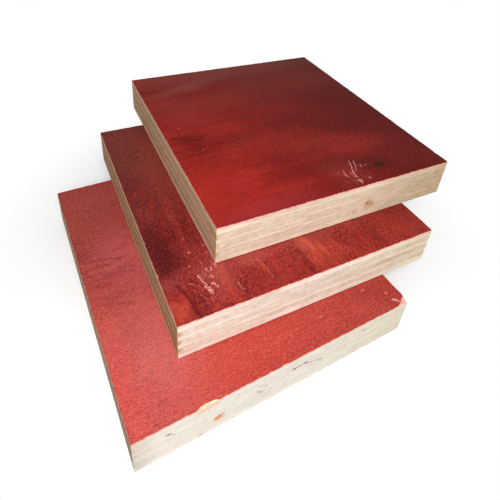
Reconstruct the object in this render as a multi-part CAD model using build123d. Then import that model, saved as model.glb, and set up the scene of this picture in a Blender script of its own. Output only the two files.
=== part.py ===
from build123d import *
import math
import os

# Stack of three square-cut plywood pieces with red resin-soaked faces, each laid on the
# one beneath and slid towards the back right. Millimetres, +Z up, origin at the centre
# of the bottom sheet's underside, X and Y along that sheet's edges.

# Size of every sheet, along its own front edge and along its left edge
SHEET_WIDTH = 113.5
SHEET_DEPTH = 124.0

# Veneers, from either red face inwards: the layup is the same both ways about the middle
RED_VENEER = 0.4
OUTER_VENEER = 2.8
CROSS_VENEER = 2.6
INNER_VENEER = 1.9

# Where the upper sheets lie: centre from the origin, and turn about the vertical in degrees
MIDDLE_SHIFT_X = 24.4
MIDDLE_SHIFT_Y = 16.0
MIDDLE_TURN = -2.3
TOP_SHIFT_X = 47.1
TOP_SHIFT_Y = 33.7
TOP_TURN = -2.9

# Broken front right corner of the bottom sheet: how far the break runs along each edge
CORNER_CHIP_X = 6.5
CORNER_CHIP_Y = 3.4
CORNER_CHIP_DOWN = 2.2

# Splinter lost from the bottom sheet's front top edge: place, length and depth at its middle
EDGE_CHIP_FROM_CENTRE = 31.7
EDGE_CHIP_LENGTH = 8.5
EDGE_CHIP_DEPTH = 0.9

# Open joint in the bottom sheet's third veneer, where one piece of it ends short of the next
CORE_GAP_FROM_CENTRE = 27.6
CORE_GAP_WIDTH = 3.0
CORE_GAP_INWARD = 4.0

# Veneer thicknesses from the underside up, and the names that go with them
CORE_LAYUP = [
    OUTER_VENEER,
    CROSS_VENEER,
    INNER_VENEER,
    CROSS_VENEER,
    INNER_VENEER,
    CROSS_VENEER,
    OUTER_VENEER,
]
LAYUP = [RED_VENEER] + CORE_LAYUP + [RED_VENEER]
CORE_NAMES = [f"core_veneer_{number + 1}" for number in range(len(CORE_LAYUP))]
LAYER_NAMES = ["red_back_veneer"] + CORE_NAMES + ["red_face_veneer"]
SHEET_THICKNESS = sum(LAYUP)


def corner_chip():
    """Everything outside the slanted plane that the corner broke along."""
    corner = Vector(SHEET_WIDTH / 2, -SHEET_DEPTH / 2, SHEET_THICKNESS)
    outward = Vector(1 / CORNER_CHIP_X, -1 / CORNER_CHIP_Y, 1 / CORNER_CHIP_DOWN)
    on_break = corner - Vector(0, 0, CORNER_CHIP_DOWN)
    reach = 2 * (CORNER_CHIP_X + CORNER_CHIP_Y + CORNER_CHIP_DOWN)
    cutter = Box(reach, reach, reach, align=(Align.CENTER, Align.CENTER, Align.MIN))
    return Plane(origin=on_break, z_dir=outward) * cutter


def edge_chip():
    """A shallow dish whose chord along the front top edge is the splinter's length."""
    half = EDGE_CHIP_LENGTH / 2
    radius = (half**2 + EDGE_CHIP_DEPTH**2) / (2 * EDGE_CHIP_DEPTH)
    stand_off = (radius - EDGE_CHIP_DEPTH) / math.sqrt(2)
    place = Pos(
        -EDGE_CHIP_FROM_CENTRE,
        -SHEET_DEPTH / 2 - stand_off,
        SHEET_THICKNESS + stand_off,
    )
    return place * Sphere(radius)


def core_gap():
    """The slot between two pieces of the third veneer, open at the front edge."""
    low = RED_VENEER + OUTER_VENEER + CROSS_VENEER
    place = Pos(-CORE_GAP_FROM_CENTRE, -SHEET_DEPTH / 2, low + INNER_VENEER / 2)
    return place * Box(CORE_GAP_WIDTH, 2 * CORE_GAP_INWARD, INNER_VENEER)


def sheet(level, shift_x, shift_y, turn, damage):
    """Every veneer of one sheet, as a name and a solid, from the underside up."""
    lie = Pos(shift_x, shift_y, level * SHEET_THICKNESS) * Rot(0, 0, turn)
    base = 0
    veneers = []
    for name, thickness in zip(LAYER_NAMES, LAYUP):
        veneer = Box(
            SHEET_WIDTH,
            SHEET_DEPTH,
            thickness,
            align=(Align.CENTER, Align.CENTER, Align.MIN),
        )
        veneer = Pos(0, 0, base) * veneer
        for cut in damage:
            veneer -= cut
        veneers.append((name, lie * veneer))
        base += thickness
    return veneers


STACK = {
    "bottom": sheet(0, 0, 0, 0, [corner_chip(), edge_chip(), core_gap()]),
    "middle": sheet(1, MIDDLE_SHIFT_X, MIDDLE_SHIFT_Y, MIDDLE_TURN, []),
    "top": sheet(2, TOP_SHIFT_X, TOP_SHIFT_Y, TOP_TURN, []),
}

os.makedirs("parts", exist_ok=True)
for place, veneers in STACK.items():
    for name, solid in veneers:
        export_step(solid, f"parts/{place}_sheet_{name}.step")
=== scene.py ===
import math

import bmesh
import bpy
import numpy as np
from mathutils import Matrix, Vector, noise


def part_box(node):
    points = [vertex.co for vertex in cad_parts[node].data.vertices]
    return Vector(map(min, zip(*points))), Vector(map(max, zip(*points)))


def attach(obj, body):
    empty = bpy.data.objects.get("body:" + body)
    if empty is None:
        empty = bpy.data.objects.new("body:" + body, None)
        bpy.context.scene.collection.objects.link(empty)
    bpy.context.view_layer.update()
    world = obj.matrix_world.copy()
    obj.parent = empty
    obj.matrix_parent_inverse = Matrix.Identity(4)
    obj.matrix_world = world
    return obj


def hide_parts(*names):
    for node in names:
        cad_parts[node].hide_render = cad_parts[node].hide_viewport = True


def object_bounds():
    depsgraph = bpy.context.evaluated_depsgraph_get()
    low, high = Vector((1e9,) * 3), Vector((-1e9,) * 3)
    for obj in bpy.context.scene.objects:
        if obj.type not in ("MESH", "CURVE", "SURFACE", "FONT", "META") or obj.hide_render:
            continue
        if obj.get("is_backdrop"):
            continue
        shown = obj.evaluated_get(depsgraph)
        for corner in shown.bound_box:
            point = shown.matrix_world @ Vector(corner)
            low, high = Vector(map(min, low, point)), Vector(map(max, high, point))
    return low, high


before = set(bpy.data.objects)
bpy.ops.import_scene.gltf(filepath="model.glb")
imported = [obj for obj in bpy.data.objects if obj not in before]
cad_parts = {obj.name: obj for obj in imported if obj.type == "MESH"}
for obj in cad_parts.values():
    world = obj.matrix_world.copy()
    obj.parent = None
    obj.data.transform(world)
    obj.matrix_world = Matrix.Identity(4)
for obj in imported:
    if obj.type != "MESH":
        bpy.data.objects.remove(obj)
cad_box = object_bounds()

# Lengths are in millimetres until a mesh, lamp or camera is made
MM = 0.001

# How far each sheet is turned about the vertical, in degrees, from the bottom one up
TURNS = {"bottom": 0.0, "middle": -2.3, "top": -2.9}
CORE_LAYERS = 7
MIDDLE_LAYER = 4
FACE_LAYER = CORE_LAYERS + 1

# Camera
CAMERA_PLACE = (-65.3, -128.4, 168.6)
CAMERA_TURN = -31.43
CAMERA_DOWN = 32.11
CAMERA_ROLL = 4.73
CAMERA_LENS = 32.42
CAMERA_SENSOR = 36.0
CAMERA_SHIFT_Y = -0.24
CAMERA_NEAR = 10

# Lamps: the key is above and in front, a little to the left; the fill is low on the right
AMBIENT = 0.42
KEY_PLACE = (-100, -230, 280)
KEY_SIZE = 150
KEY_POWER = 1.35
FILL_PLACE = (420, 40, 45)
FILL_SIZE = 80
FILL_POWER = 0.4

# Floor: its size each way, how far from the stack's middle it starts and ends turning to
# plain white, and its grey as the camera and as the stack sees it
FLOOR_REACH = 4000
FLOOR_FADE = (70, 135)
FLOOR_SEEN = (0.95, 0.95, 0.95, 1)
FLOOR_UNSEEN = (0.45, 0.45, 0.45, 1)
WHITE = (1, 1, 1, 1)

# Mesh: the spacing of points along the edges and over the red faces, the rows of points up
# a veneer's edge, how far in from the edge a hidden side is flat, and the angle of a crease
STEP = 0.6
EDGE_ROWS = 5
RIM = 5.0
CREASE = 40

# Sawn edges: how far in they lie and how much that varies along the whole edge, at a seam
# and at a veneer's middle, and the bites along the arrises as spacing, width and depth
SAW_DEPTH = 0.06
SAW_RIPPLE = 0.02
SEAM_DEPTH = 0.03
SEAM_RIPPLE = 0.03
BULGE = 0.04
SMALL_BITES = (3, 1.4, 0.16)
RARE_BITES = (40, 2.2, 0.18)

# How far each seam between veneers rises and falls, from the underside up
SEAM_SWAYS = [0.0, 0.05] + [0.2] * (CORE_LAYERS - 1) + [0.05, 0.0]

# Damage to the bottom sheet's front: the broken corner's reach along the front edge, along
# the right edge and down; the place, length and depth of the splinter lost from the arris;
# and the open joint's veneer, place, half width and depth
CORNER_CHIP = (5.2, 3.1, 1.8)
EDGE_CHIP_X = -31.7
EDGE_CHIP_LENGTH = 8.5
EDGE_CHIP_DEPTH = 0.55
CORE_GAP_LAYER = 3
CORE_GAP = (-27.6, 1.5, 4.0)

# Broken surfaces: the scale and size of each noise, and the block that cuts the corner
CORNER_ROUGHNESS = ((0.9, 0.22), (2.3, 0.12))
EDGE_ROUGHNESS = ((1.1, 0.16), (2.9, 0.12))
CUTTER_REACH = 12
CUTTER_STEPS = 41
CUTTER_HEIGHT = 8

# Bump in millimetres on the resin, on veneers that end or run at the front, on a red
# veneer's cut edge and on broken wood
RESIN_BUMP = 0.014
CROSS_BUMP = 0.025
LONG_BUMP = 0.05
STAIN_BUMP = 0.05
BROKEN_BUMP = 0.1

# Screen colours that all three sheets share
SCRATCH = (204, 120, 108)
SCUFF = (228, 158, 150)
BRANCH_RING = (70, 30, 26)
GLUE = (120, 78, 50)
RESIN_BLEED = (232, 150, 132)
WOOD_SPECK = (96, 62, 40)
FACE_STAIN = ((188, 90, 78), (240, 196, 176))
CORNER_WOOD = ((214, 138, 122), (248, 204, 186))
SPLINTER_WOOD = ((206, 170, 118), (244, 222, 184))

# A spot whose larger half size is over this has a soft outline, and any other a crisp one
SOFT_SPOT = 3
# How far from the left end of the front the shade of that end reaches
LEFT_END = 10


def srgb(red, green, blue):
    """A screen colour from 0 to 255 as the linear colour that shaders use."""
    values = [c / 255 for c in (red, green, blue)]
    linear = [c / 12.92 if c <= 0.04045 else ((c + 0.055) / 1.055) ** 2.4 for c in values]
    return (*linear, 1.0)


class Sheet:
    """One sheet as the frame has it: its size, place, turn and the heights of its layers."""

    def __init__(self, name, seed):
        self.name = name
        self.rng = np.random.default_rng(seed)
        self.seed = seed
        self.turn = math.radians(TURNS[name])
        low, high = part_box(self.node(MIDDLE_LAYER))
        self.centre = (np.array(low) + np.array(high))[:2] / 2 / MM
        # The bottom sheet isn't turned, so its box gives the width and depth of them all
        flat_low, flat_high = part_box(f"bottom_sheet_core_veneer_{MIDDLE_LAYER}")
        self.width, self.depth = (np.array(flat_high) - np.array(flat_low))[:2] / MM
        boxes = [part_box(self.node(layer)) for layer in range(FACE_LAYER + 1)]
        self.base = boxes[0][0][2] / MM
        self.seams = [box[0][2] / MM for box in boxes] + [boxes[-1][1][2] / MM]

    def node(self, layer):
        """The frame's name for a layer, counted from the underside."""
        if layer == 0:
            return f"{self.name}_sheet_red_back_veneer"
        if layer == FACE_LAYER:
            return f"{self.name}_sheet_red_face_veneer"
        return f"{self.name}_sheet_core_veneer_{layer}"

    def place(self, points):
        """Points in the sheet's own millimetres as metres in the row frame."""
        cos, sin = math.cos(self.turn), math.sin(self.turn)
        x = self.centre[0] + points[:, 0] * cos - points[:, 1] * sin
        y = self.centre[1] + points[:, 0] * sin + points[:, 1] * cos
        return np.stack([x, y, points[:, 2]], 1) * MM


class Outline:
    """Stations round a sheet from its front left corner: front, right, back and left."""

    def __init__(self, sheet):
        self.columns = round(sheet.width / STEP)
        self.lines = round(sheet.depth / STEP)
        self.x = np.linspace(-sheet.width / 2, sheet.width / 2, self.columns + 1)
        self.y = np.linspace(-sheet.depth / 2, sheet.depth / 2, self.lines + 1)
        across, along = np.arange(self.columns), np.arange(self.lines)
        runs = (
            (across, 0 * across, (0, -1)),
            (0 * along + self.columns, along, (1, 0)),
            (self.columns - across, 0 * across + self.lines, (0, 1)),
            (0 * along, self.lines - along, (-1, 0)),
        )
        self.column = np.concatenate([run[0] for run in runs])
        self.line = np.concatenate([run[1] for run in runs])
        self.side = np.concatenate([[k] * len(run[0]) for k, run in enumerate(runs)])
        self.out = np.concatenate([[run[2]] * len(run[0]) for run in runs]).astype(float)
        # A corner faces outwards to both of its sides
        starts = np.flatnonzero(np.diff(self.side, prepend=3))
        self.out[starts] = self.out[starts] + self.out[starts - 1]
        self.xy = np.stack([self.x[self.column], self.y[self.line]], 1)
        self.count = len(self.xy)
        self.total = 2 * (sheet.width + sheet.depth)
        self.s = np.arange(self.count) / self.count * self.total


def ripple(outline, rng, shortest, longest):
    """A smooth random line round the sheet, mostly between -1 and 1, that closes on itself."""
    fewest = max(1, round(outline.total / longest))
    waves = np.arange(fewest, round(outline.total / shortest) + 1)
    phases = rng.uniform(0, 2 * math.pi, len(waves))
    sizes = rng.normal(size=len(waves))
    turns = 2 * math.pi * outline.s[:, None] * waves / outline.total
    line = (sizes * np.cos(turns + phases)).sum(1)
    return line / (2 * line.std())


def nibbles(outline, rng, spacing, width, depth):
    """Small bites out of an arris: how far in it lies at each station."""
    bite = np.zeros(outline.count)
    total = outline.total
    for _ in range(round(total / spacing)):
        middle = rng.uniform(0, total)
        half = width * rng.uniform(0.4, 1.6) / 2
        away = np.abs((outline.s - middle + total / 2) % total - total / 2)
        shape = np.clip(1 - (away / half) ** 2, 0, None) ** 0.5
        bite = np.maximum(bite, depth * rng.uniform(0.3, 1.0) * shape)
    return bite


def add_object(name, data):
    """An object in the scene that holds a mesh, lamp or camera."""
    holder = bpy.data.objects.new(name, data)
    bpy.context.scene.collection.objects.link(holder)
    return holder


def add_mesh(name, sheet, points, faces, materials, slots):
    """A mesh object at the origin from points in the sheet's millimetres."""
    mesh = bpy.data.meshes.new(name)
    mesh.from_pydata(sheet.place(points), [], faces)
    for material in materials:
        mesh.materials.append(material)
    mesh.polygons.foreach_set("material_index", slots)
    mesh.polygons.foreach_set("use_smooth", np.ones(len(mesh.polygons), bool))
    mesh.set_sharp_from_angle(angle=math.radians(CREASE))
    mesh.update()
    return add_object(name, mesh)


def ring_faces(lower, upper):
    """Quads between two closed rings of point numbers, facing outwards."""
    ahead_low, ahead_up = np.roll(lower, -1), np.roll(upper, -1)
    return np.stack([lower, ahead_low, ahead_up, upper], 1).tolist()


def layer_rings(outline, heights, insets):
    """Rings of points up a layer's edge: one for each pair of heights and insets."""
    rings = []
    for height, inset in zip(heights, insets):
        xy = outline.xy - outline.out * inset[:, None]
        rings.append(np.column_stack([xy, height]))
    return rings


def rim_ring(sheet, outline, height):
    """The flat ring a little way in from the edge, where a hidden side becomes plain."""
    shrink = 1 - 2 * RIM / np.array([sheet.width, sheet.depth])
    return np.column_stack([outline.xy * shrink, np.full(outline.count, height)])


def core_veneer(sheet, outline, layer, seams, relief, materials):
    """A veneer between two wavy glue lines, with its sawn edge all round."""
    parts = np.linspace(0, 1, EDGE_ROWS)
    low, high = seams[layer], seams[layer + 1]
    heights = [low + (high - low) * part for part in parts]
    insets = [relief(layer, part) for part in parts]
    rings = [rim_ring(sheet, outline, sheet.seams[layer])]
    rings += layer_rings(outline, heights, insets)
    rings += [rim_ring(sheet, outline, sheet.seams[layer + 1])]
    numbers = np.arange(len(rings) * outline.count).reshape(len(rings), -1)
    faces = []
    for lower, upper in zip(numbers, numbers[1:]):
        faces += ring_faces(lower, upper)
    faces += [numbers[0][::-1].tolist(), numbers[-1].tolist()]
    slots = np.zeros(len(faces), int)
    name = f"{sheet.name}_veneer_{layer}"
    return add_mesh(name, sheet, np.concatenate(rings), faces, materials, slots)


def red_veneer(sheet, outline, layer, seams, relief, materials):
    """A red veneer: a fine grid on its outer side, its thin edge, and a plain inner side."""
    outer_up = layer == FACE_LAYER
    inner_seam = FACE_LAYER if outer_up else 1
    seam = seams[inner_seam]
    outer = sheet.seams[-1] if outer_up else sheet.seams[0]
    grid_x, grid_y = np.meshgrid(outline.x, outline.y, indexing="ij")
    grid = np.stack([grid_x, grid_y, np.full(grid_x.shape, outer)], -1)
    inset = relief(layer, 1.0)
    grid[outline.column, outline.line, :2] = outline.xy - outline.out * inset[:, None]
    wide = len(outline.y)
    edge = outline.column * wide + outline.line
    first = np.arange((len(outline.x) - 1) * (wide - 1))
    corner = first // (wide - 1) * wide + first % (wide - 1)
    cells = np.stack([corner, corner + wide, corner + wide + 1, corner + 1], 1)
    points = [grid.reshape(-1, 3)]
    points += layer_rings(outline, [(outer + seam) / 2], [relief(layer, 0.5)])
    points += layer_rings(outline, [seam], [relief(layer, 0.0)])
    points += [rim_ring(sheet, outline, sheet.seams[inner_seam])]
    start = len(points[0])
    numbers = np.arange(start, start + 3 * outline.count).reshape(3, -1)
    rings = [edge, *numbers]
    faces = cells.tolist()
    shown = len(faces)
    for upper, lower in zip(rings, rings[1:]):
        faces += ring_faces(lower, upper)
    faces.append(numbers[-1][::-1].tolist())
    if not outer_up:
        faces = [face[::-1] for face in faces]
    slots = np.ones(len(faces), int)
    slots[:shown] = 0
    name = f"{sheet.name}_red_{'face' if outer_up else 'back'}"
    return add_mesh(name, sheet, np.concatenate(points), faces, materials, slots)


def sheet_relief(sheet, outline):
    """How far in from the saw line each layer's edge lies, by layer and height in the layer."""
    rng = sheet.rng
    saw = SAW_DEPTH + SAW_RIPPLE * ripple(outline, rng, 1.6, 5)
    seam_lines = []
    for _ in sheet.seams:
        seam_lines.append(SEAM_DEPTH + SEAM_RIPPLE * ripple(outline, rng, 2, 30))
    bulges = [BULGE * ripple(outline, rng, 1.5, 12) for _ in range(FACE_LAYER + 1)]
    bites = {layer: nibbles(outline, rng, *SMALL_BITES) for layer in (0, FACE_LAYER)}
    for bite in bites.values():
        bite += nibbles(outline, rng, *RARE_BITES)

    def relief(layer, part):
        inset = saw + seam_lines[layer] * (1 - part) + seam_lines[layer + 1] * part
        inset = inset + bulges[layer] * 4 * part * (1 - part)
        if layer in bites:
            inset = inset + bites[layer] * (0.5 + 0.5 * part)
        if layer == 0:
            inset = inset + EDGE_LOOKS[sheet.name]["tear_out"]
        if layer == CORE_LAYERS and part == 1:
            inset = inset + 0.5 * bites[FACE_LAYER]
        if sheet.name == "bottom" and layer == CORE_GAP_LAYER:
            middle, half, deep = CORE_GAP
            inside = (outline.side == 0) & (np.abs(outline.xy[:, 0] - middle) < half)
            inset = inset + deep * inside
        return np.clip(inset, 0, None)

    return relief


class Nodes:
    """Short calls that add shader nodes to a new material or world and wire them."""

    def __init__(self, owner):
        self.owner = owner
        owner.use_nodes = True
        self.tree = owner.node_tree
        self.tree.nodes.clear()

    def add(self, kind, inputs=(), output=0, **settings):
        """A node with its settings and inputs; gives back one of its outputs."""
        node = self.tree.nodes.new("ShaderNode" + kind)
        for key, value in settings.items():
            setattr(node, key, value)
        for key, value in dict(inputs).items():
            if isinstance(value, bpy.types.NodeSocket):
                self.tree.links.new(value, node.inputs[key])
            else:
                node.inputs[key].default_value = value
        return node.outputs[output]

    def math(self, operation, *values):
        return self.add("Math", enumerate(values), operation=operation)

    def mix(self, factor, first, second, blend="MIX"):
        inputs = {0: factor, 6: first, 7: second}
        return self.add("Mix", inputs, output=2, data_type="RGBA", blend_type=blend)

    def tint(self, colour, where, strength, shade):
        """The colour with a screen colour laid over it where the first factor says."""
        return self.mix(self.math("MULTIPLY", where, strength), colour, srgb(*shade))

    def swing(self, value, wave, amount):
        """The value with a noise added that swings about its own middle."""
        return self.math("MULTIPLY_ADD", self.math("SUBTRACT", wave, 0.5), amount, value)

    def noise(self, vector, scale, detail=2.0, roughness=0.5, distortion=0.0):
        inputs = {"Vector": vector, "Scale": scale, "Detail": detail}
        inputs |= {"Roughness": roughness, "Distortion": distortion}
        return self.add("TexNoise", inputs)

    def span(self, value, low, high, to_low=0.0, to_high=1.0):
        """A smooth step of value from low to high."""
        inputs = {0: value, 1: low, 2: high, 3: to_low, 4: to_high}
        return self.add("MapRange", inputs, interpolation_type="SMOOTHSTEP")

    def scaled(self, vector, scale, shift=(0, 0, 0)):
        return self.add("Mapping", {"Vector": vector, "Scale": scale, "Location": shift})

    def stretched(self, vector, axis, share, shift=(0, 0, 0)):
        """The same coordinates with one axis shrunk, so that a texture runs along it."""
        scale = [1.0, 1.0, 1.0]
        scale[axis] = share
        return self.scaled(vector, scale, shift)

    def separate(self, vector):
        """The X, Y and Z of a vector."""
        return self.add("SeparateXYZ", {0: vector}).node.outputs

    def sheet_space(self, sheet):
        """Shader coordinates in the sheet's own millimetres, height from its underside."""
        cos, sin = math.cos(sheet.turn), math.sin(sheet.turn)
        x, y = sheet.centre
        inputs = {
            "Vector": self.add("TexCoord", output="Object"),
            "Location": (-x * cos - y * sin, x * sin - y * cos, -sheet.base),
            "Rotation": (0, 0, -sheet.turn),
            "Scale": (1 / MM,) * 3,
        }
        return self.add("Mapping", inputs)

    def wobbled(self, vector, scale, size):
        """The same coordinates, pushed about by a soft noise."""
        push = self.add("TexNoise", {"Vector": vector, "Scale": scale, "Detail": 3.0}, output=1)
        centred = self.add("VectorMath", {0: push, 1: (0.5, 0.5, 0.5)}, operation="SUBTRACT")
        inputs = {0: centred, 1: (2 * size,) * 3, 2: vector}
        return self.add("VectorMath", inputs, operation="MULTIPLY_ADD")

    def away(self, vector, place, size=(1, 1, 1), turn=0.0):
        """The distance from a place, along each axis in parts of that axis's size."""
        inputs = {"Vector": vector, "Location": place, "Rotation": (0, 0, turn), "Scale": size}
        local = self.add("Mapping", inputs, vector_type="TEXTURE")
        return self.add("VectorMath", {0: local}, output="Value", operation="LENGTH")

    def patch(self, vector, x, y, half_x, half_y, turn=0.0, soft=0.5):
        """An oval spot: 1 inside, falling to 0 over the soft share of its size."""
        away = self.away(vector, (x, y, 0), (half_x, half_y, 1e6), math.radians(turn))
        return self.span(away, 1 - soft, 1 + soft, 1.0, 0.0)

    def stroke(self, vector, start, end, bend, half_width):
        """A thin line from start to end that bows sideways by bend in its middle."""
        (x1, y1), (x2, y2) = start, end
        half = math.hypot(x2 - x1, y2 - y1) / 2
        inputs = {
            "Vector": vector,
            "Location": ((x1 + x2) / 2, (y1 + y2) / 2, 0),
            "Rotation": (0, 0, math.atan2(y2 - y1, x2 - x1)),
            "Scale": (half, 1, 1e6),
        }
        local = self.separate(self.add("Mapping", inputs, vector_type="TEXTURE"))
        along = self.math("POWER", self.math("ABSOLUTE", local[0]), 2.0)
        bow = self.math("MULTIPLY", self.math("SUBTRACT", 1.0, along), bend)
        off = self.math("ABSOLUTE", self.math("SUBTRACT", local[1], bow))
        line = self.span(off, half_width * 0.3, half_width * 2.0, 1.0, 0.0)
        taper = self.span(along, 0.55, 1.0, 1.0, 0.0)
        return self.math("MULTIPLY", line, taper)

    def finish(self, colour, roughness, specular, height, lift):
        """The surface shader, with the height field as a bump of lift millimetres."""
        bump = {"Height": height, "Distance": lift * MM, "Strength": 1.0}
        inputs = {
            "Base Color": colour,
            "Roughness": roughness,
            "Specular IOR Level": specular,
            "Normal": self.add("Bump", bump),
        }
        self.show(self.add("BsdfPrincipled", inputs))
        return self.owner

    def show(self, shader, kind="Material"):
        """The shader wired to the material's or the world's output."""
        out = self.tree.nodes.new(f"ShaderNodeOutput{kind}")
        self.tree.links.new(shader, out.inputs["Surface"])


def material_nodes(name):
    return Nodes(bpy.data.materials.new(name))


# Looks of the three red faces, in screen colours and in each sheet's own millimetres.
# patches: x, y, half sizes, turn, softness, colour and strength
# veins: two ends, bow, half width, colour and strength
# scuffs: two ends, bow, half width and strength
# scratched: x, y, half sizes, turn and strength of a field of scratches
# speckled: x, y, half sizes and strength of a field of painted glints
# swirl: x, y and half sizes
# grain is the axis that the fibres follow, tones run from dark to light, slope is the tone's
# change along X and Y, partly painted falloff of the key lamp, and bands, clouds, fibres and
# specks are the noises' strengths in it.
# Glints are painted highlights, short pale marks along the grain; pits and hairs are short dark
# and long marks along it.
TOP_PATCHES = (
    # Partly painted falloff of the key lamp: brighter towards the front left
    (-48, -56, 40, 18, 0, 0.7, (158, 38, 28), 0.5),
    (-30, -26, 26, 9, 8, 0.7, (152, 34, 24), 0.5),
    (-50, -38, 16, 8, 0, 0.7, (170, 40, 26), 0.35),
    # Partly painted falloff of the key lamp: darker over the right half
    (46, -2, 26, 40, 10, 0.7, (88, 10, 7), 0.8),
    (44, -52, 16, 10, 0, 0.8, (102, 20, 13), 0.5),
    (24, -6, 12, 12, 0, 0.8, (100, 18, 14), 0.45),
    (-12, -14, 17, 5, 4, 0.8, (152, 44, 36), 0.4),
    (2, 8, 20, 13, -6, 0.7, (136, 33, 30), 0.4),
    # Painted reflection: greyer haze along the back, standing in for the bright surroundings
    # mirrored at a grazing angle
    (-6, 57, 60, 9, 0, 0.7, (134, 62, 52), 0.55),
    (20, 36, 40, 16, 0, 0.7, (122, 40, 32), 0.5),
    # Painted sheen: a pale pinkish band across the back left
    (-34, 43, 16, 4, 14, 0.9, (160, 82, 72), 0.4),
    (-44, 24, 12, 14, 0, 0.8, (126, 48, 42), 0.4),
    (-12, -42, 10, 5, 6, 0.8, (104, 18, 16), 0.5),
    (0, -58, 12, 4, 0, 0.8, (112, 22, 20), 0.3),
    (8, -56, 16, 6, 0, 0.8, (112, 24, 20), 0.55),
    (30, -44, 22, 12, 0, 0.8, (120, 30, 26), 0.25),
    (-22, -57, 10, 3, 0, 0.8, (132, 34, 36), 0.5),
    (2, -26, 14, 9, 0, 0.8, (142, 36, 24), 0.5),
    (22, -34, 14, 8, 0, 0.8, (146, 34, 26), 0.55),
    (-36, 8, 16, 10, 0, 0.8, (152, 36, 28), 0.45),
    (-22, 24, 18, 9, 6, 0.8, (144, 44, 34), 0.45),
    (-26, -3, 14, 5, 4, 0.8, (156, 38, 28), 0.4),
    (-36, -58, 14, 4, 0, 0.8, (158, 48, 50), 0.4),
    (-45, -4, 8, 2.4, -8, 0.6, (88, 16, 14), 0.6),
    (-30, -9, 9, 1.6, -6, 0.8, (96, 20, 18), 0.45),
    (26, -51.5, 6.5, 4, 12, 0.7, (74, 18, 10), 0.75),
    # Painted shade: a darker band along the front arris on the left
    (-38, -60.5, 32, 2.2, 0, 0.8, (128, 34, 42), 0.5),
    (24.5, -51.8, 2.5, 1.7, 20, 0.5, (44, 20, 8), 0.95),
    (-27.9, -14.1, 0.6, 0.45, 0, 0.5, (70, 14, 12), 0.7),
    (-34.2, -12.6, 0.6, 0.4, 0, 0.5, (74, 14, 12), 0.6),
    (-37.9, 21.5, 0.7, 0.45, 0, 0.5, (82, 20, 18), 0.6),
    (-48.1, 5.4, 0.6, 0.45, 0, 0.6, (190, 106, 92), 0.6),
    (-43.5, -14.7, 0.5, 0.4, 0, 0.6, (190, 106, 92), 0.5),
    (7, -52, 12, 7, -60, 0.8, (136, 44, 40), 0.4),
)
TOP_VEINS = (
    ((0, -38), (26, -46), 2, 1.1, (104, 20, 16), 0.15),
    ((14, -52), (34, -58), 1.4, 0.8, (84, 12, 10), 0.25),
    ((22, -44), (44, -47), 1.5, 0.7, (84, 12, 10), 0.15),
    ((-56, -2), (-38, -10), 1, 0.7, (82, 12, 12), 0.5),
    ((-44, -42), (-20, -34), -1.2, 1.4, (176, 50, 34), 0.15),
    ((-50, -50), (-26, -44), 1, 1.2, (178, 54, 36), 0.15),
)
TOP_SCUFFS = (
    ((13.4, -44.9), (11, -51), 0.2, 0.2, 0.85),
    ((11, -50.8), (10, -56.4), -0.4, 0.22, 0.9),
    ((15.3, -45.6), (13.4, -50.3), 0.2, 0.22, 0.7),
    ((13.4, -50.1), (11.2, -52.8), 0.2, 0.18, 0.55),
    ((9.1, -51.5), (9.2, -56.2), -0.4, 0.2, 0.45),
    ((8.6, -57.4), (10.9, -58.2), -0.5, 0.45, 0.7),
    ((9.2, -58.6), (9.5, -60.4), 0.3, 0.4, 0.65),
    ((7.2, -49.3), (6.2, -52), -0.3, 0.2, 0.4),
    ((6.3, -51.6), (6.2, -54.6), -0.3, 0.34, 0.6),
    ((5, -48.9), (2.6, -52), 0.2, 0.18, 0.2),
    ((16.5, -48.8), (16.1, -50.9), 0.2, 0.28, 0.4),
    ((18.9, -49.6), (18.5, -51), 0.2, 0.28, 0.3),
    ((14.2, -57.7), (15.2, -58.8), 0.2, 0.3, 0.6),
    ((6.9, -57), (7.3, -59.6), 0.2, 0.2, 0.25),
)
TOP_LOOK = {
    "grain": 0,
    "tones": ((44, 4, 6), (78, 8, 10), (110, 14, 13), (150, 34, 26)),
    "slope": (-0.0036, -0.0012),
    "bands": 0.5,
    "clouds": 0.45,
    "glints": 0.12,
    "glint": (188, 78, 64),
    "hairs": 0.25,
    "hair": (160, 48, 38),
    "pits": 0.12,
    "fibres": 0.35,
    "specks": 0.6,
    "speck_scale": 1.5,
    "speckled": ((20, -34, 26, 12, 0.2), (-4, -24, 40, 14, 0.1), (-20, -46, 36, 12, 0.06)),
    "roughness": 0.5,
    "specular": 0.05,
    "patches": TOP_PATCHES,
    "swirl": (6, 53, 15, 8),
    "veins": TOP_VEINS,
    "scratched": ((10, -52, 9, 7, -70, 0.22),),
    "scuffs": TOP_SCUFFS,
}
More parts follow.
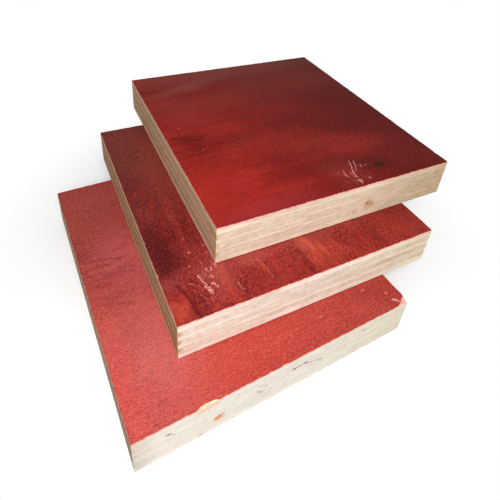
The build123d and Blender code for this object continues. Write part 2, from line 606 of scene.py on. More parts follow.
MIDDLE_PATCHES = (
    (-46, 44, 22, 34, 0, 0.6, (114, 50, 42), 0.7),
    (-38, 14, 8, 34, 0, 0.7, (136, 56, 46), 0.45),
    (-54, -8, 6, 12, 0, 0.7, (104, 38, 38), 0.6),
    (-54, -28, 7, 15, 0, 0.6, (80, 16, 20), 0.85),
    (-50, -36, 6, 9, 8, 0.7, (78, 16, 20), 0.7),
    (-52, -44, 5, 3, 10, 0.7, (120, 34, 40), 0.6),
    (-41, -36, 5, 10, 0, 0.8, (146, 42, 38), 0.5),
    (-47.6, -58, 3.2, 6, 8, 0.6, (102, 24, 28), 0.65),
    (-54, -56.5, 3, 5.5, 14, 0.7, (174, 62, 50), 0.7),
    (-53, -50.5, 2.6, 2.6, 0, 0.8, (150, 40, 36), 0.5),
    (-53.6, -45.5, 3, 2.6, -20, 0.8, (150, 54, 56), 0.6),
    (-48.6, -51, 1.2, 4, 24, 0.6, (112, 28, 32), 0.5),
    (2, -50, 4, 7, 0, 0.7, (196, 82, 60), 0.45),
    (-2, -44, 34, 4, 0, 0.8, (186, 92, 84), 0.25),
    (-36, -53, 5, 6, 0, 0.8, (166, 64, 60), 0.4),
    (9, -54, 6, 6, 0, 0.7, (180, 66, 48), 0.4),
    (-22, -45, 6, 4, 0, 0.8, (172, 78, 70), 0.5),
    (-36, -46, 5, 6, 0, 0.8, (176, 80, 72), 0.35),
    (-8, -52, 3, 9, 0, 0.8, (126, 32, 28), 0.4),
    (-16, -54, 8, 9, 0, 0.8, (158, 50, 42), 0.4),
    (22, -54, 4, 9, 0, 0.8, (134, 38, 30), 0.45),
    (38, -55, 7, 10, 0, 0.8, (166, 54, 40), 0.4),
    (52, -54, 8, 12, 0, 0.7, (138, 44, 36), 0.6),
    (-42.5, -33.7, 0.5, 0.5, 0, 0.6, (206, 112, 100), 0.7),
    (-44.6, -40, 0.45, 0.5, 0, 0.6, (196, 104, 94), 0.55),
    (-42.1, -26.1, 0.5, 0.45, 0, 0.6, (190, 104, 90), 0.5),
    (-36.1, -32.2, 0.6, 0.45, 0, 0.6, (180, 100, 88), 0.5),
    (-36.2, -36.3, 0.5, 0.45, 0, 0.6, (190, 108, 96), 0.55),
    (-35.5, -38.9, 0.45, 0.45, 0, 0.6, (190, 108, 96), 0.5),
    (-39.9, -40.5, 0.4, 0.4, 0, 0.6, (200, 112, 100), 0.6),
)
MIDDLE_VEINS = (
    ((-52.6, -45.2), (-49.4, -56.2), 0.9, 0.45, (78, 14, 18), 0.7),
    ((-49.6, -55.8), (-47.8, -61.8), -0.3, 0.5, (78, 14, 18), 0.6),
    ((-54.4, -53), (-53, -60), 0.3, 0.7, (196, 70, 50), 0.3),
    ((1.5, -44), (3.6, -52), 0.3, 0.8, (214, 104, 64), 0.3),
    ((6, -49), (7.5, -56), 0.2, 0.7, (208, 98, 62), 0.22),
    ((12, -48), (14, -56), 0.4, 0.6, (202, 92, 60), 0.2),
    ((22, -50), (25, -60), 0.3, 0.6, (92, 18, 16), 0.35),
    ((-20, -46), (-18, -58), 0.3, 0.5, (196, 84, 66), 0.3),
)
MIDDLE_SCUFFS = (
    ((-43.3, -44.7), (-41.8, -50.2), -0.2, 0.26, 0.85),
    ((-41.8, -50), (-42.3, -51.7), -0.2, 0.4, 0.85),
    ((-41.5, -51.2), (-40.9, -53.4), -0.4, 0.5, 0.9),
    ((-40.9, -53.2), (-41.9, -54.4), 0.2, 0.45, 0.75),
    ((-40.2, -50.3), (-38.7, -51.4), 0.3, 0.4, 0.8),
    ((-38.8, -51.4), (-38.7, -53.1), 0.3, 0.3, 0.7),
    ((-38.6, -43), (-38.7, -45), -0.75, 0.2, 0.8),
    ((-38.5, -45), (-37.5, -43.2), -0.6, 0.2, 0.8),
    ((-39.2, -46.6), (-38.4, -48.5), 0.2, 0.4, 0.4),
    ((-47.6, -47.2), (-46.2, -48.4), 0.2, 0.25, 0.3),
    ((-30.7, -53.2), (-30.9, -56), -0.2, 0.16, 0.4),
    ((-30.9, -55.9), (-29.9, -57.6), -0.2, 0.2, 0.4),
    ((-44.6, -49), (-43.6, -52), 0.2, 0.14, 0.22),
    ((-45.4, -53), (-44.2, -56), 0.2, 0.14, 0.22),
    ((-42.9, -55.8), (-42.2, -58), 0.2, 0.14, 0.2),
    ((-35.9, -42), (-35.6, -44.4), 0.1, 0.25, 0.5),
)
MIDDLE_LOOK = {
    "grain": 1,
    "tones": ((52, 6, 10), (88, 15, 17), (124, 28, 25), (164, 50, 38)),
    "slope": (0.0, -0.002),
    "bands": 0.7,
    "clouds": 0.5,
    "glints": 0.2,
    "glint": (202, 106, 94),
    "hairs": 0.2,
    "hair": (186, 78, 66),
    "pits": 0.32,
    "fibres": 0.6,
    "specks": 0.65,
    "speck_scale": 2.2,
    "speckled": ((0, -48, 44, 9, 0.15), (-36, -40, 8, 14, 0.04)),
    "roughness": 0.5,
    "specular": 0.06,
    "patches": MIDDLE_PATCHES,
    "swirl": (-44, 34, 8, 10),
    "veins": MIDDLE_VEINS,
    "scratched": (
        (-42, -50, 6, 8, -74, 0.4),
        (-30, -56, 4, 5, -66, 0.3),
        (-38, -38, 6, 9, 60, 0.25),
    ),
    "scuffs": MIDDLE_SCUFFS,
}
BOTTOM_PATCHES = (
    (-44, 46, 26, 30, 0, 0.6, (148, 60, 50), 0.8),
    (-38, 4, 12, 20, 0, 0.7, (180, 82, 80), 0.65),
    # Partly the resin's rose tone, partly painted sheen: paler pink on the left strip
    (-34, -30, 12, 12, 0, 0.8, (200, 94, 92), 0.5),
    (-6, -52, 26, 14, 0, 0.8, (190, 66, 54), 0.6),
    (-54, -30, 5, 22, 0, 0.7, (196, 76, 66), 0.45),
    (-50, -4, 10, 6, 0, 0.7, (170, 66, 60), 0.5),
    # Partly the resin's rose tone, partly painted sheen: paler pink on the left strip
    (-44, -28, 20, 12, 0, 0.8, (206, 98, 90), 0.4),
    (-40, -54, 18, 10, 0, 0.8, (192, 86, 78), 0.55),
    (-54, -48, 5, 14, 0, 0.8, (200, 74, 66), 0.5),
    # Partly the resin's rose tone, partly painted sheen: paler pink on the left strip
    (-40, -42, 9, 9, 0, 0.8, (208, 106, 102), 0.4),
    (-24, -56, 9, 6, 0, 0.8, (180, 62, 52), 0.5),
    (40, -52, 24, 14, 0, 0.8, (168, 58, 44), 0.6),
    (54, -54, 12, 12, 0, 0.8, (146, 44, 34), 0.6),
    (8, -59, 22, 5, 0, 0.8, (164, 52, 42), 0.5),
    (-49, 8, 9, 0.8, 8, 0.7, (124, 44, 42), 0.6),
    (-46, 3, 10, 1, -10, 0.7, (134, 50, 46), 0.55),
    (-50, -2, 6, 0.7, 14, 0.7, (128, 46, 44), 0.5),
    (-47, -8, 8, 0.8, -14, 0.7, (140, 54, 50), 0.5),
    (-40, 14, 8, 0.9, 12, 0.7, (138, 54, 50), 0.45),
    (-44, 22, 10, 0.7, -4, 0.7, (130, 52, 46), 0.4),
    (-48, -14, 6, 0.7, 6, 0.7, (160, 64, 58), 0.4),
    (-17, -56, 6, 5, 0, 0.7, (182, 58, 48), 0.45),
    (43.4, -49.6, 0.6, 0.5, 0, 0.6, (214, 130, 118), 0.6),
    (51.1, -55, 0.6, 0.45, 0, 0.6, (220, 140, 126), 0.6),
    (20, -52, 0.5, 0.4, 0, 0.6, (224, 140, 126), 0.5),
)
BOTTOM_VEINS = (
    ((-56, 12), (-38, 8), 0.8, 0.5, (122, 42, 40), 0.5),
    ((-54, 2), (-36, 1), -0.8, 0.6, (130, 48, 44), 0.45),
    ((-56, -10), (-40, -16), 0.6, 0.5, (136, 50, 46), 0.4),
    ((-52, 30), (-40, 26), 0.4, 0.5, (126, 50, 44), 0.35),
    ((4, -50), (30, -54), -0.6, 0.5, (150, 48, 40), 0.35),
)
BOTTOM_LOOK = {
    "grain": 0,
    "tones": ((82, 21, 18), (120, 35, 30), (154, 54, 48), (186, 80, 72)),
    "slope": (-0.001, -0.0018),
    "bands": 0.6,
    "clouds": 0.55,
    "glints": 0.26,
    "glint": (222, 122, 114),
    "hairs": 0.25,
    "hair": (226, 120, 110),
    "pits": 0.22,
    "fibres": 0.45,
    "specks": 1.15,
    "speck_scale": 2.4,
    "speckled": (),
    "roughness": 0.55,
    "specular": 0.1,
    "patches": BOTTOM_PATCHES,
    "swirl": None,
    "veins": BOTTOM_VEINS,
    "scratched": (),
    "scuffs": (((51.0, -58.3), (53.6, -60.7), 0.2, 0.35, 0.9),),
}
LOOKS = {"bottom": BOTTOM_LOOK, "middle": MIDDLE_LOOK, "top": TOP_LOOK}


def red_material(sheet, look):
    """Resin-soaked red veneer: tones along the grain, patches, pores, painted glints and
    scuffs.
    """
    n = material_nodes(f"{sheet.name}_red_resin")
    mm = n.sheet_space(sheet)
    own = n.scaled(mm, (1, 1, 1), (sheet.seed * 31.7, sheet.seed * 17.3, 0))
    soft = n.wobbled(n.wobbled(mm, 0.1, 4.0), 0.45, 1.3)
    fine = n.wobbled(mm, 0.9, 0.35)
    fibres = n.noise(n.stretched(own, look["grain"], 0.14), 1.5, 3.0, 0.7)
    specks = n.noise(own, look["speck_scale"], 2.0, 0.8)
    colour = resin_tones(n, look, mm, own, fibres, specks)
    colour = resin_patches(n, look, soft, fine, colour)
    colour = resin_grain(n, look, own, soft, fibres, specks, colour)
    colour = resin_marks(n, look, mm, soft, fine, colour)
    height = n.math("MULTIPLY_ADD", specks, 0.5, fibres)
    roughness = n.span(specks, 0.2, 0.8, look["roughness"] - 0.08, look["roughness"] + 0.12)
    return n.finish(colour, roughness, look["specular"], height, RESIN_BUMP)


def resin_tones(n, look, mm, own, fibres, specks):
    """Darker and lighter red in bands along the grain, on a slope over the whole face."""
    waves = {
        "bands": n.noise(n.stretched(own, look["grain"], 0.08), 0.16, 4.0, 0.6, 0.8),
        "clouds": n.noise(own, 0.055, 4.0, 0.55, 0.4),
        "fibres": fibres,
        "specks": specks,
    }
    place = n.separate(mm)
    # The slope is partly painted falloff of the key lamp: darker to the right and to the back
    tone = n.math("MULTIPLY_ADD", place[0], look["slope"][0], 0.5)
    tone = n.math("MULTIPLY_ADD", place[1], look["slope"][1], tone)
    for name, wave in waves.items():
        tone = n.swing(tone, wave, look[name])
    return ramp(n, tone, look["tones"])


def ramp(n, value, tones):
    """The tones from dark to light, spread evenly over the value."""
    node = n.add("ValToRGB", {0: value}).node
    stops = node.color_ramp.elements
    while len(stops) < len(tones):
        stops.new(0.5)
    for k, tone in enumerate(tones):
        stops[k].position = 0.2 + 0.6 * k / (len(tones) - 1)
        stops[k].color = srgb(*tone)
    return node.outputs[0]


def resin_patches(n, look, soft, fine, colour):
    """Clouds and small spots on the face, each an oval of one shade, and the swirl."""
    for x, y, half_x, half_y, turn, fade, shade, strength in look["patches"]:
        space = soft if max(half_x, half_y) > SOFT_SPOT else fine
        spot = n.patch(space, x, y, half_x, half_y, turn, fade)
        colour = n.tint(colour, spot, strength, shade)
    if look["swirl"]:
        colour = swirl(n, soft, colour, *look["swirl"])
    return colour


def swirl(n, space, colour, x, y, half_x, half_y):
    """Growth rings of a branch under the resin, as thin darker loops."""
    away = n.away(space, (x, y, 0), (half_x, half_y, 1e6))
    loops = n.span(n.math("SINE", n.math("MULTIPLY", away, 17.0)), 0.35, 1.0)
    within = n.span(away, 0.5, 1.0, 1.0, 0.0)
    return n.tint(colour, n.math("MULTIPLY", loops, within), 0.5, BRANCH_RING)


def resin_grain(n, look, own, soft, fibres, specks, colour):
    """Fine texture: fibres and specks in the tone, open pores, pits and hairs, and painted
    glints.
    """
    grain = look["grain"]
    deep = look["tones"][0]
    detail = n.swing(1.0, fibres, look["fibres"])
    detail = n.swing(detail, specks, look["specks"])
    colour = n.add("VectorMath", {0: colour, "Scale": detail}, operation="SCALE")
    pores = n.noise(n.stretched(own, grain, 0.1), 3.2, 1.0)
    colour = n.tint(colour, n.span(pores, 0.62, 0.74), 0.35, deep)

    # Glints are painted highlights: pale flecks along the grain, fainter on dark red and
    # stronger in the speckled fields
    dashes = n.noise(n.stretched(own, grain, 0.38, (7, 21, 5)), 2.3, 2.0, 0.7)
    red = n.add("SeparateColor", {0: colour})
    bright = n.span(red, 0.04, 0.2, look["glints"] * 0.4, look["glints"])
    for x, y, half_x, half_y, amount in look["speckled"]:
        spot = n.patch(soft, x, y, half_x, half_y, 0, 0.8)
        bright = n.math("MULTIPLY_ADD", spot, amount, bright)
    colour = n.tint(colour, n.span(dashes, 0.5, 0.66), bright, look["glint"])
    colour = n.tint(colour, n.span(dashes, 0.34, 0.5, 1.0, 0.0), look["pits"], deep)
    hairs = n.noise(n.stretched(own, grain, 0.38, (40, 9, 3)), 2.6, 1.0)
    return n.tint(colour, n.span(hairs, 0.6, 0.76), look["hairs"], look["hair"])


def resin_marks(n, look, mm, soft, fine, colour):
    """Veins, fields of fine scratches, and single scuffs that broke the resin."""
    for start, end, bend, half_width, shade, strength in look["veins"]:
        line = n.stroke(fine, start, end, bend, half_width)
        colour = n.tint(colour, line, strength, shade)
    for x, y, half_x, half_y, turn, strength in look["scratched"]:
        field = n.patch(soft, x, y, half_x, half_y, 0, 0.6)
        turned = n.add("Mapping", {"Vector": mm, "Rotation": (0, 0, -math.radians(turn))})
        lines = n.noise(n.scaled(turned, (0.35, 2.2, 1)), 1.1, 1.0)
        hit = n.math("MULTIPLY", n.span(lines, 0.6, 0.68), field)
        colour = n.tint(colour, hit, strength, SCRATCH)
    broken = n.span(n.noise(mm, 2.4, 2.0), 0.34, 0.54)
    for start, end, bend, half_width, strength in look["scuffs"]:
        line = n.stroke(fine, start, end, bend, half_width)
        colour = n.tint(colour, n.math("MULTIPLY", line, broken), strength, SCUFF)
    return colour


# Looks of the raw edges. A knot, or any brown mark on the front, is x, height, half sizes,
# colour and strength. pale and dark are the wood, green and pink drift over it, and contrast
# darkens the cross veneers. The sides are multiplied by end, the left ones fully and the right
# ones less: end grain, and on the left sides also painted shade. The wood near the front's ends
# is multiplied by left and right, and the top sheet's darker right end is partly painted
# falloff of the key lamp. lines and mark are the strength and colour of the streaks in the
# sides' cross veneers. back is the red back veneer's cut edge; its dark shade on the top and
# middle sheets is also painted contact shadow where the sheet sits on the one below. tear_out
# is how far it is set back. torn and tear are the torn cross veneers at the front left corner.
TOP_KNOTS = (
    (14.2, 6.9, 2.6, 2.2, (196, 148, 96), 0.6),
    (13.2, 7.4, 1, 0.9, (150, 96, 52), 0.7),
    (15.6, 6.2, 0.9, 0.8, (160, 104, 60), 0.6),
    (40, 9, 6, 0.6, (168, 132, 98), 0.4),
)
TOP_EDGES = {
    "pale": (236, 217, 196),
    "dark": (190, 166, 136),
    "end": (236, 212, 196),
    "left": (255, 255, 255),
    # Darker towards the right end; on the top sheet this is partly painted falloff of the key
    # lamp
    "right": (226, 220, 204),
    "lines": 0.6,
    "green": (214, 212, 174),
    "pink": (240, 196, 180),
    "contrast": 0.06,
    # Painted contact shadow, partly: the back veneer's edge is dark where the sheet sits on the
    # one below
    "back": ((84, 34, 28), (132, 74, 58)),
    "tear_out": 0.35,
    "mark": (122, 90, 58),
    "tear": (196, 142, 90),
    "torn": 0.5,
    "specks": 0.15,
    "knots": TOP_KNOTS,
}
MIDDLE_KNOTS = (
    (36, 9, 12, 0.7, (178, 140, 104), 0.45),
    (-20, 4.6, 9, 0.5, (200, 160, 124), 0.4),
)
MIDDLE_EDGES = {
    "pale": (243, 234, 223),
    "dark": (204, 184, 163),
    "end": (214, 186, 152),
    "left": (255, 255, 255),
    "right": (250, 244, 230),
    "lines": 1.0,
    "green": (226, 222, 190),
    "pink": (250, 206, 192),
    "contrast": 0.11,
    # Painted contact shadow, partly: the back veneer's edge is dark where the sheet sits on the
    # one below
    "back": ((84, 34, 28), (140, 80, 64)),
    "tear_out": 0.3,
    "mark": (88, 58, 34),
    "tear": (190, 140, 86),
    "torn": 0.85,
    "specks": 0.2,
    "knots": MIDDLE_KNOTS,
}
BOTTOM_KNOTS = (
    (-45, 12.3, 0.9, 0.55, (110, 74, 46), 0.8),
    (-43.4, 10.7, 0.6, 0.4, (130, 92, 62), 0.6),
    (-34, 0.9, 1, 0.4, (176, 120, 80), 0.6),
    (-11, 7.9, 0.8, 0.4, (128, 92, 66), 0.6),
    (-11.4, 12.1, 0.9, 0.4, (150, 110, 78), 0.6),
    (14.5, 8.9, 0.9, 0.5, (146, 108, 80), 0.6),
    (34.3, 13.6, 0.9, 0.5, (150, 112, 84), 0.6),
    (2.4, 11.8, 1, 0.55, (96, 64, 46), 0.85),
    (4.5, 12, 0.9, 0.5, (110, 74, 52), 0.8),
    (7.2, 11.9, 1.2, 0.5, (102, 68, 46), 0.85),
    (9.6, 10.7, 0.8, 0.4, (124, 88, 64), 0.65),
    (12.5, 9.8, 0.9, 0.4, (128, 92, 68), 0.6),
    (-9.6, 10.6, 0.8, 0.4, (128, 92, 68), 0.6),
    (-12.7, 9.4, 0.9, 0.4, (130, 94, 70), 0.6),
    (-27.6, 6.2, 1.7, 1.3, (212, 150, 98), 0.95),
    (-31.7, 16.2, 4.4, 1, (222, 170, 116), 0.6),
)
BOTTOM_EDGES = {
    "pale": (235, 229, 219),
    "dark": (214, 203, 189),
    "end": (206, 186, 170),
    "left": (236, 233, 228),
    "right": (255, 252, 240),
    "lines": 0.8,
    "green": (230, 230, 206),
    "pink": (250, 224, 214),
    "contrast": 0.05,
    "back": ((206, 184, 156), (232, 216, 192)),
    "tear_out": 0.0,
    "mark": (150, 112, 82),
    "tear": (196, 170, 140),
    "torn": 0.3,
    "specks": 0.5,
    "knots": BOTTOM_KNOTS,
}
EDGE_LOOKS = {"bottom": BOTTOM_EDGES, "middle": MIDDLE_EDGES, "top": TOP_EDGES}


def veneer_material(sheet, layer):
    """Raw sawn veneer: a solid wood whose fibres run along X, or along Y in even layers."""
    look = EDGE_LOOKS[sheet.name]
    n = material_nodes(f"{sheet.name}_veneer_{layer}_wood")
    mm = n.sheet_space(sheet)
    own = n.scaled(mm, (1, 1, 1), (layer * 23.1, sheet.seed * 19.7 + layer * 7.9, layer * 3.3))
    cross = layer % 2 == 0
    along = n.stretched(own, 1 if cross else 0, 0.06)
    fibres = n.noise(along, 1.9, 3.0, 0.6)
    pores = n.noise(own, 1.9, 2.0, 0.8)
    place = n.separate(mm)
    outwards = n.separate(n.add("TexCoord", output="Normal"))[0]
    left_side = n.math("MULTIPLY", outwards, -1.0)
    end_side = n.math("MAXIMUM", left_side, n.math("MULTIPLY", outwards, 0.6))

    colour = wood_tones(n, look, cross, own, along, fibres, pores)
    colour = front_ends(n, sheet, look, place[0], colour)
    # The sides are darkened by the end tint, fully on the left and at 0.6 on the right: end
    # grain, and on the left sides also painted shade
    end_grain_and_left_shade = n.mix(1.0, colour, srgb(*look["end"]), "MULTIPLY")
    colour = n.mix(end_side, colour, end_grain_and_left_shade)
    if cross:
        lines = n.span(fibres, 0.35, 0.6, 0.75 * look["lines"], 0.35 * look["lines"])
        colour = n.tint(colour, end_side, lines, look["mark"])
    colour = front_marks(n, sheet, look, layer, mm, place, colour)
    colour = seam_lines(n, sheet, layer, own, place[2], end_side, colour)
    spots = n.span(n.noise(own, 1.1, 1.0), 0.70, 0.78)
    colour = n.tint(colour, spots, look["specks"], WOOD_SPECK)
    height = n.math("MULTIPLY_ADD", pores, 0.4, fibres)
    return n.finish(colour, 0.85, 0.2, height, CROSS_BUMP if cross else LONG_BUMP)


def wood_tones(n, look, cross, own, along, fibres, pores):
    """Pale and dark wood, plainer where a cross veneer ends, drifting to green and pink."""
    waves = (
        (fibres, 0.5 if cross else 1.3),
        (n.noise(n.scaled(own, (0.16, 0.16, 1.0)), 1.1, 3.0, 0.6), 0.45),
        (n.noise(along, 0.35, 2.0, 0.5), 0.7 if cross else 1.2),
        (n.noise(own, 0.09, 3.0, 0.55), 0.7),
        (pores, 0.5 if cross else 0.9),
    )
    tone = 0.57 + (-1 if cross else 1) * look["contrast"]
    for wave, amount in waves:
        tone = n.swing(tone, wave, amount)
    colour = n.mix(n.span(tone, 0.0, 1.0), srgb(*look["dark"]), srgb(*look["pale"]))
    drift = n.noise(own, 0.4, 2.0, 0.6)
    colour = n.mix(n.span(drift, 0.52, 0.72, 0.0, 0.45), colour, srgb(*look["green"]))
    return n.mix(n.span(drift, 0.3, 0.48, 0.4, 0.0), colour, srgb(*look["pink"]))


def front_ends(n, sheet, look, x, colour):
    """The wood towards the left and right ends of the front, multiplied by their shades."""
    half = sheet.width / 2
    left = n.mix(n.span(x, -half, LEFT_END - half, 1.0, 0.0), WHITE, srgb(*look["left"]))
    right = n.mix(n.span(x, 0.0, half), WHITE, srgb(*look["right"]))
    return n.mix(1.0, colour, n.mix(1.0, left, right, "MULTIPLY"), "MULTIPLY")


def front_marks(n, sheet, look, layer, mm, place, colour):
    """Torn cross veneers at the front left corner, and the knots and marks on the front."""
    left, front = -sheet.width / 2, -sheet.depth / 2
    low = sheet.seams[layer] - sheet.base
    high = sheet.seams[layer + 1] - sheet.base
    upright = n.add("CombineXYZ", {0: place[0], 1: place[2], 2: 0.0})
    face = n.wobbled(upright, 0.8, 0.4)
    if layer % 2 == 0:
        torn = n.patch(face, left, (low + high) / 2, 1.7, 1.1, 0, 0.6)
        corner = n.patch(mm, left, front, 2.2, 1.6, 0, 0.5)
        torn = n.math("MULTIPLY", torn, corner)
        colour = n.tint(colour, torn, look["torn"], look["tear"])
    in_front = n.math("LESS_THAN", place[1], 0.0)
    for x, z, half_x, half_z, shade, strength in look["knots"]:
        if low - half_z < z < high + half_z:
            spot = n.patch(face, x, z, half_x, half_z, 0, 0.6)
            knot = n.math("MULTIPLY", spot, strength)
            colour = n.tint(colour, knot, in_front, shade)
    return colour


def seam_lines(n, sheet, layer, own, height, end_side, colour):
    """Brown glue lines at the core's seams, and resin soaked in under the red face."""
    ragged = n.math("MULTIPLY_ADD", n.noise(own, 0.8, 2.0), 0.5, -0.25)
    level = n.math("ADD", height, ragged)
    strength = n.math("MULTIPLY_ADD", end_side, 0.5, 0.13)
    for seam in (layer, layer + 1):
        seam_height = sheet.seams[seam] - sheet.base
        gap = n.math("ABSOLUTE", n.math("SUBTRACT", level, seam_height))
        if seam == FACE_LAYER:
            colour = n.tint(colour, n.span(gap, 0.1, 0.9, 1.0, 0.0), 0.45, RESIN_BLEED)
        elif seam > 1:
            colour = n.tint(colour, n.span(gap, 0.05, 0.35, 1.0, 0.0), strength, GLUE)
    return colour


def stained_edge(sheet, side, shade, pale):
    """The thin cut edge of a red veneer, paler where the resin didn't soak through."""
    n = material_nodes(f"{sheet.name}_stained_{side}_edge")
    tone = n.noise(n.scaled(n.sheet_space(sheet), (0.4, 0.4, 1.0)), 1.4, 3.0, 0.6)
    colour = n.mix(n.span(tone, 0.3, 0.7), srgb(*shade), srgb(*pale))
    return n.finish(colour, 0.8, 0.2, tone, STAIN_BUMP)


def broken_wood(sheet, place, shade, pale):
    """Torn wood inside a chip, rougher than the sawn edge."""
    n = material_nodes(f"{sheet.name}_broken_{place}")
    fibres = n.noise(n.stretched(n.sheet_space(sheet), 0, 0.2), 2.2, 3.0, 0.7)
    colour = n.mix(n.span(fibres, 0.3, 0.7), srgb(*shade), srgb(*pale))
    return n.finish(colour, 0.9, 0.2, fibres, BROKEN_BUMP)


def unevenness(point, waves):
    """How far a broken surface stands out at a point, from the scale and size of noises."""
    return sum(size * noise.noise(point * scale) for scale, size in waves)


def corner_cutter(sheet, material):
    """A block whose lower face is the uneven break across the front right corner."""
    along, back, down = CORNER_CHIP
    corner = Vector((sheet.width / 2, -sheet.depth / 2, sheet.seams[-1]))
    normal = Vector((1 / along, -1 / back, 1 / down)).normalized()
    across = normal.cross(Vector((0, 0, 1))).normalized()
    up = normal.cross(across)
    start = corner - Vector((0, 0, down))
    steps = np.linspace(-CUTTER_REACH, CUTTER_REACH, CUTTER_STEPS)
    low, high = [], []
    for a in steps:
        for b in steps:
            point = start + across * a + up * b
            low.append(point + normal * unevenness(point, CORNER_ROUGHNESS))
            high.append(point + normal * CUTTER_HEIGHT)
    return closed_block(f"{sheet.name}_corner_cutter", sheet, low, high, len(steps), material)


def closed_block(name, sheet, low, high, wide, material):
    """Two square grids of points as the lower and upper sides of one closed solid."""
    half = len(low)
    numbers = np.arange(half).reshape(wide, wide)
    faces = []
    for k in range(wide - 1):
        for j in range(wide - 1):
            quad = [numbers[k, j], numbers[k + 1, j], numbers[k + 1, j + 1], numbers[k, j + 1]]
            faces.append([int(v) for v in quad[::-1]])
            faces.append([int(v) + half for v in quad])
    rim = [*numbers[0], *numbers[1:, -1], *numbers[-1, -2::-1], *numbers[-2:0:-1, 0]]
    for here, ahead in zip(rim, rim[1:] + rim[:1]):
        faces.append([int(here), int(ahead), int(ahead) + half, int(here) + half][::-1])
    points = np.array([tuple(point) for point in low + high])
    block = add_mesh(name, sheet, points, faces, [material], np.zeros(len(faces), int))
    bm = bmesh.new()
    bm.from_mesh(block.data)
    bmesh.ops.recalc_face_normals(bm, faces=bm.faces)
    bm.to_mesh(block.data)
    bm.free()
    return block


def edge_cutter(sheet, material):
    """An uneven ball that scoops the lost splinter out of the front arris."""
    half = EDGE_CHIP_LENGTH / 2
    radius = (half**2 + EDGE_CHIP_DEPTH**2) / (2 * EDGE_CHIP_DEPTH)
    off = (radius - EDGE_CHIP_DEPTH) / math.sqrt(2)
    middle = Vector((EDGE_CHIP_X, -sheet.depth / 2 - off, sheet.seams[-1] + off))
    bm = bmesh.new()
    bmesh.ops.create_icosphere(bm, subdivisions=6, radius=radius)
    points = []
    for vertex in bm.verts:
        place = middle + vertex.co
        points.append(tuple(place + vertex.normal * unevenness(place, EDGE_ROUGHNESS)))
    faces = [[vertex.index for vertex in face.verts] for face in bm.faces]
    bm.free()
    slots = np.zeros(len(faces), int)
    name = f"{sheet.name}_edge_cutter"
    return add_mesh(name, sheet, np.array(points), faces, [material], slots)


def break_out(piece, cutters):
    """The piece with every cutter taken away, their faces left as the broken surface."""
    for cutter in cutters:
        chip = piece.modifiers.new("chip", "BOOLEAN")
        chip.operation = "DIFFERENCE"
        chip.solver = "EXACT"
        chip.material_mode = "TRANSFER"
        chip.object = cutter
    scene_now = bpy.context.evaluated_depsgraph_get()
    whole = piece.data
    piece.data = bpy.data.meshes.new_from_object(piece.evaluated_get(scene_now))
    piece.modifiers.clear()
    bpy.data.meshes.remove(whole)
    piece.data.name = piece.name


def build_sheet(sheet):
    """Every layer of one sheet, each in place of the frame's own."""
    outline = Outline(sheet)
    seams = []
    for level, sway in zip(sheet.seams, SEAM_SWAYS):
        seams.append(level + sway * ripple(outline, sheet.rng, 7, 70))
    relief = sheet_relief(sheet, outline)
    red = red_material(sheet, LOOKS[sheet.name])
    # On the top and middle sheets the back veneer's dark edge is partly painted contact shadow
    back_edge_and_contact_shade = stained_edge(sheet, "back", *EDGE_LOOKS[sheet.name]["back"])
    face_edge = stained_edge(sheet, "face", *FACE_STAIN)
    edges = {0: back_edge_and_contact_shade, FACE_LAYER: face_edge}
    cutters = []
    if sheet.name == "bottom":
        corner_wood = broken_wood(sheet, "corner", *CORNER_WOOD)
        splinter_wood = broken_wood(sheet, "edge", *SPLINTER_WOOD)
        cutters = [corner_cutter(sheet, corner_wood), edge_cutter(sheet, splinter_wood)]
    for layer in range(FACE_LAYER + 1):
        if layer in edges:
            piece = red_veneer(sheet, outline, layer, seams, relief, [red, edges[layer]])
        else:
            wood = veneer_material(sheet, layer)
            piece = core_veneer(sheet, outline, layer, seams, relief, [wood])
        if layer >= CORE_LAYERS and cutters:
            break_out(piece, cutters)
        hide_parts(sheet.node(layer))
        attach(piece, "root")
    for cutter in cutters:
        bpy.data.objects.remove(cutter)


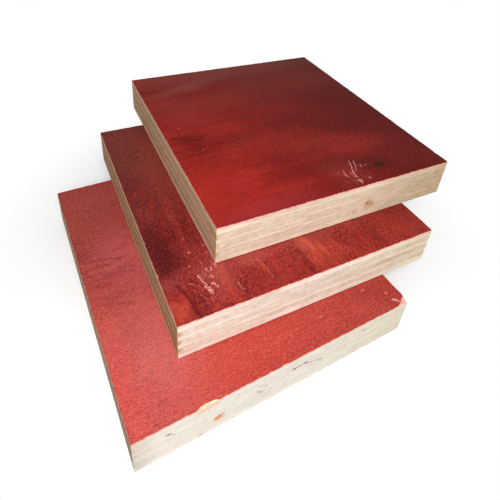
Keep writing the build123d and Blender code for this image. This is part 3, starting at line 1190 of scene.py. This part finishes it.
def add_floor():
    """A plain white floor: the camera sees it white with the stack's shadow on it."""
    reach = FLOOR_REACH * MM
    mesh = bpy.data.meshes.new("floor")
    corners = [(-reach, -reach, 0), (reach, -reach, 0), (reach, reach, 0), (-reach, reach, 0)]
    mesh.from_pydata(corners, [], [(0, 1, 2, 3)])
    n = material_nodes("floor")
    low, high = cad_box
    middle = ((low[0] + high[0]) / 2, (low[1] + high[1]) / 2, 0)
    path = n.add("LightPath").node.outputs
    seen = n.math("MAXIMUM", path["Is Camera Ray"], path["Is Glossy Ray"])
    away = n.away(n.add("TexCoord", output="Object"), middle)
    start, end = FLOOR_FADE
    plain = n.math("MULTIPLY", n.span(away, start * MM, end * MM), seen)
    shaded = n.add("BsdfDiffuse", {"Color": n.mix(seen, FLOOR_UNSEEN, FLOOR_SEEN)})
    white = n.add("Emission", {"Color": WHITE, "Strength": 1.0})
    n.show(n.add("MixShader", {0: plain, 1: shaded, 2: white}))
    mesh.materials.append(n.owner)
    add_object("floor", mesh)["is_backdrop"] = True


def add_world():
    """White where it is seen or mirrored, and a softer light everywhere else."""
    world = bpy.data.worlds.new("studio")
    bpy.context.scene.world = world
    n = Nodes(world)
    path = n.add("LightPath").node.outputs
    mirrored = n.math("MAXIMUM", path["Is Glossy Ray"], path["Is Transmission Ray"])
    seen = n.math("MAXIMUM", path["Is Camera Ray"], mirrored)
    strength = n.add("MapRange", {"Value": seen, "To Min": AMBIENT, "To Max": 1.0})
    n.show(n.add("Background", {"Color": WHITE, "Strength": strength}), "World")


def add_lamp(name, place, size, power):
    """A square lamp that looks at the stack's middle."""
    lamp = bpy.data.lights.new(name, "AREA")
    lamp.size = size * MM
    lamp.energy = power
    holder = add_object(name, lamp)
    holder.location = Vector(place) * MM
    low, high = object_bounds()
    aim = (low + high) / 2 - holder.location
    holder.rotation_euler = aim.to_track_quat("-Z", "Y").to_euler()


def add_camera():
    """The photograph's view of the stack."""
    camera = bpy.data.cameras.new("camera")
    camera.lens = CAMERA_LENS
    camera.sensor_width = CAMERA_SENSOR
    camera.shift_y = CAMERA_SHIFT_Y
    camera.clip_start = CAMERA_NEAR * MM
    holder = add_object("camera", camera)
    turn = Matrix.Rotation(math.radians(CAMERA_TURN), 4, "Z")
    tip = Matrix.Rotation(math.radians(90 - CAMERA_DOWN), 4, "X")
    roll = Matrix.Rotation(math.radians(CAMERA_ROLL), 4, "Z")
    holder.matrix_world = Matrix.Translation(Vector(CAMERA_PLACE) * MM) @ turn @ tip @ roll
    bpy.context.scene.camera = holder


for seed, name in enumerate(TURNS, start=1):
    build_sheet(Sheet(name, seed))
add_floor()
add_world()
add_lamp("key", KEY_PLACE, KEY_SIZE, KEY_POWER)
add_lamp("fill", FILL_PLACE, FILL_SIZE, FILL_POWER)
add_camera()
bpy.context.scene.view_settings.view_transform = "Standard"

boxes = [[list(corner) for corner in box] for box in (cad_box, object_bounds())]
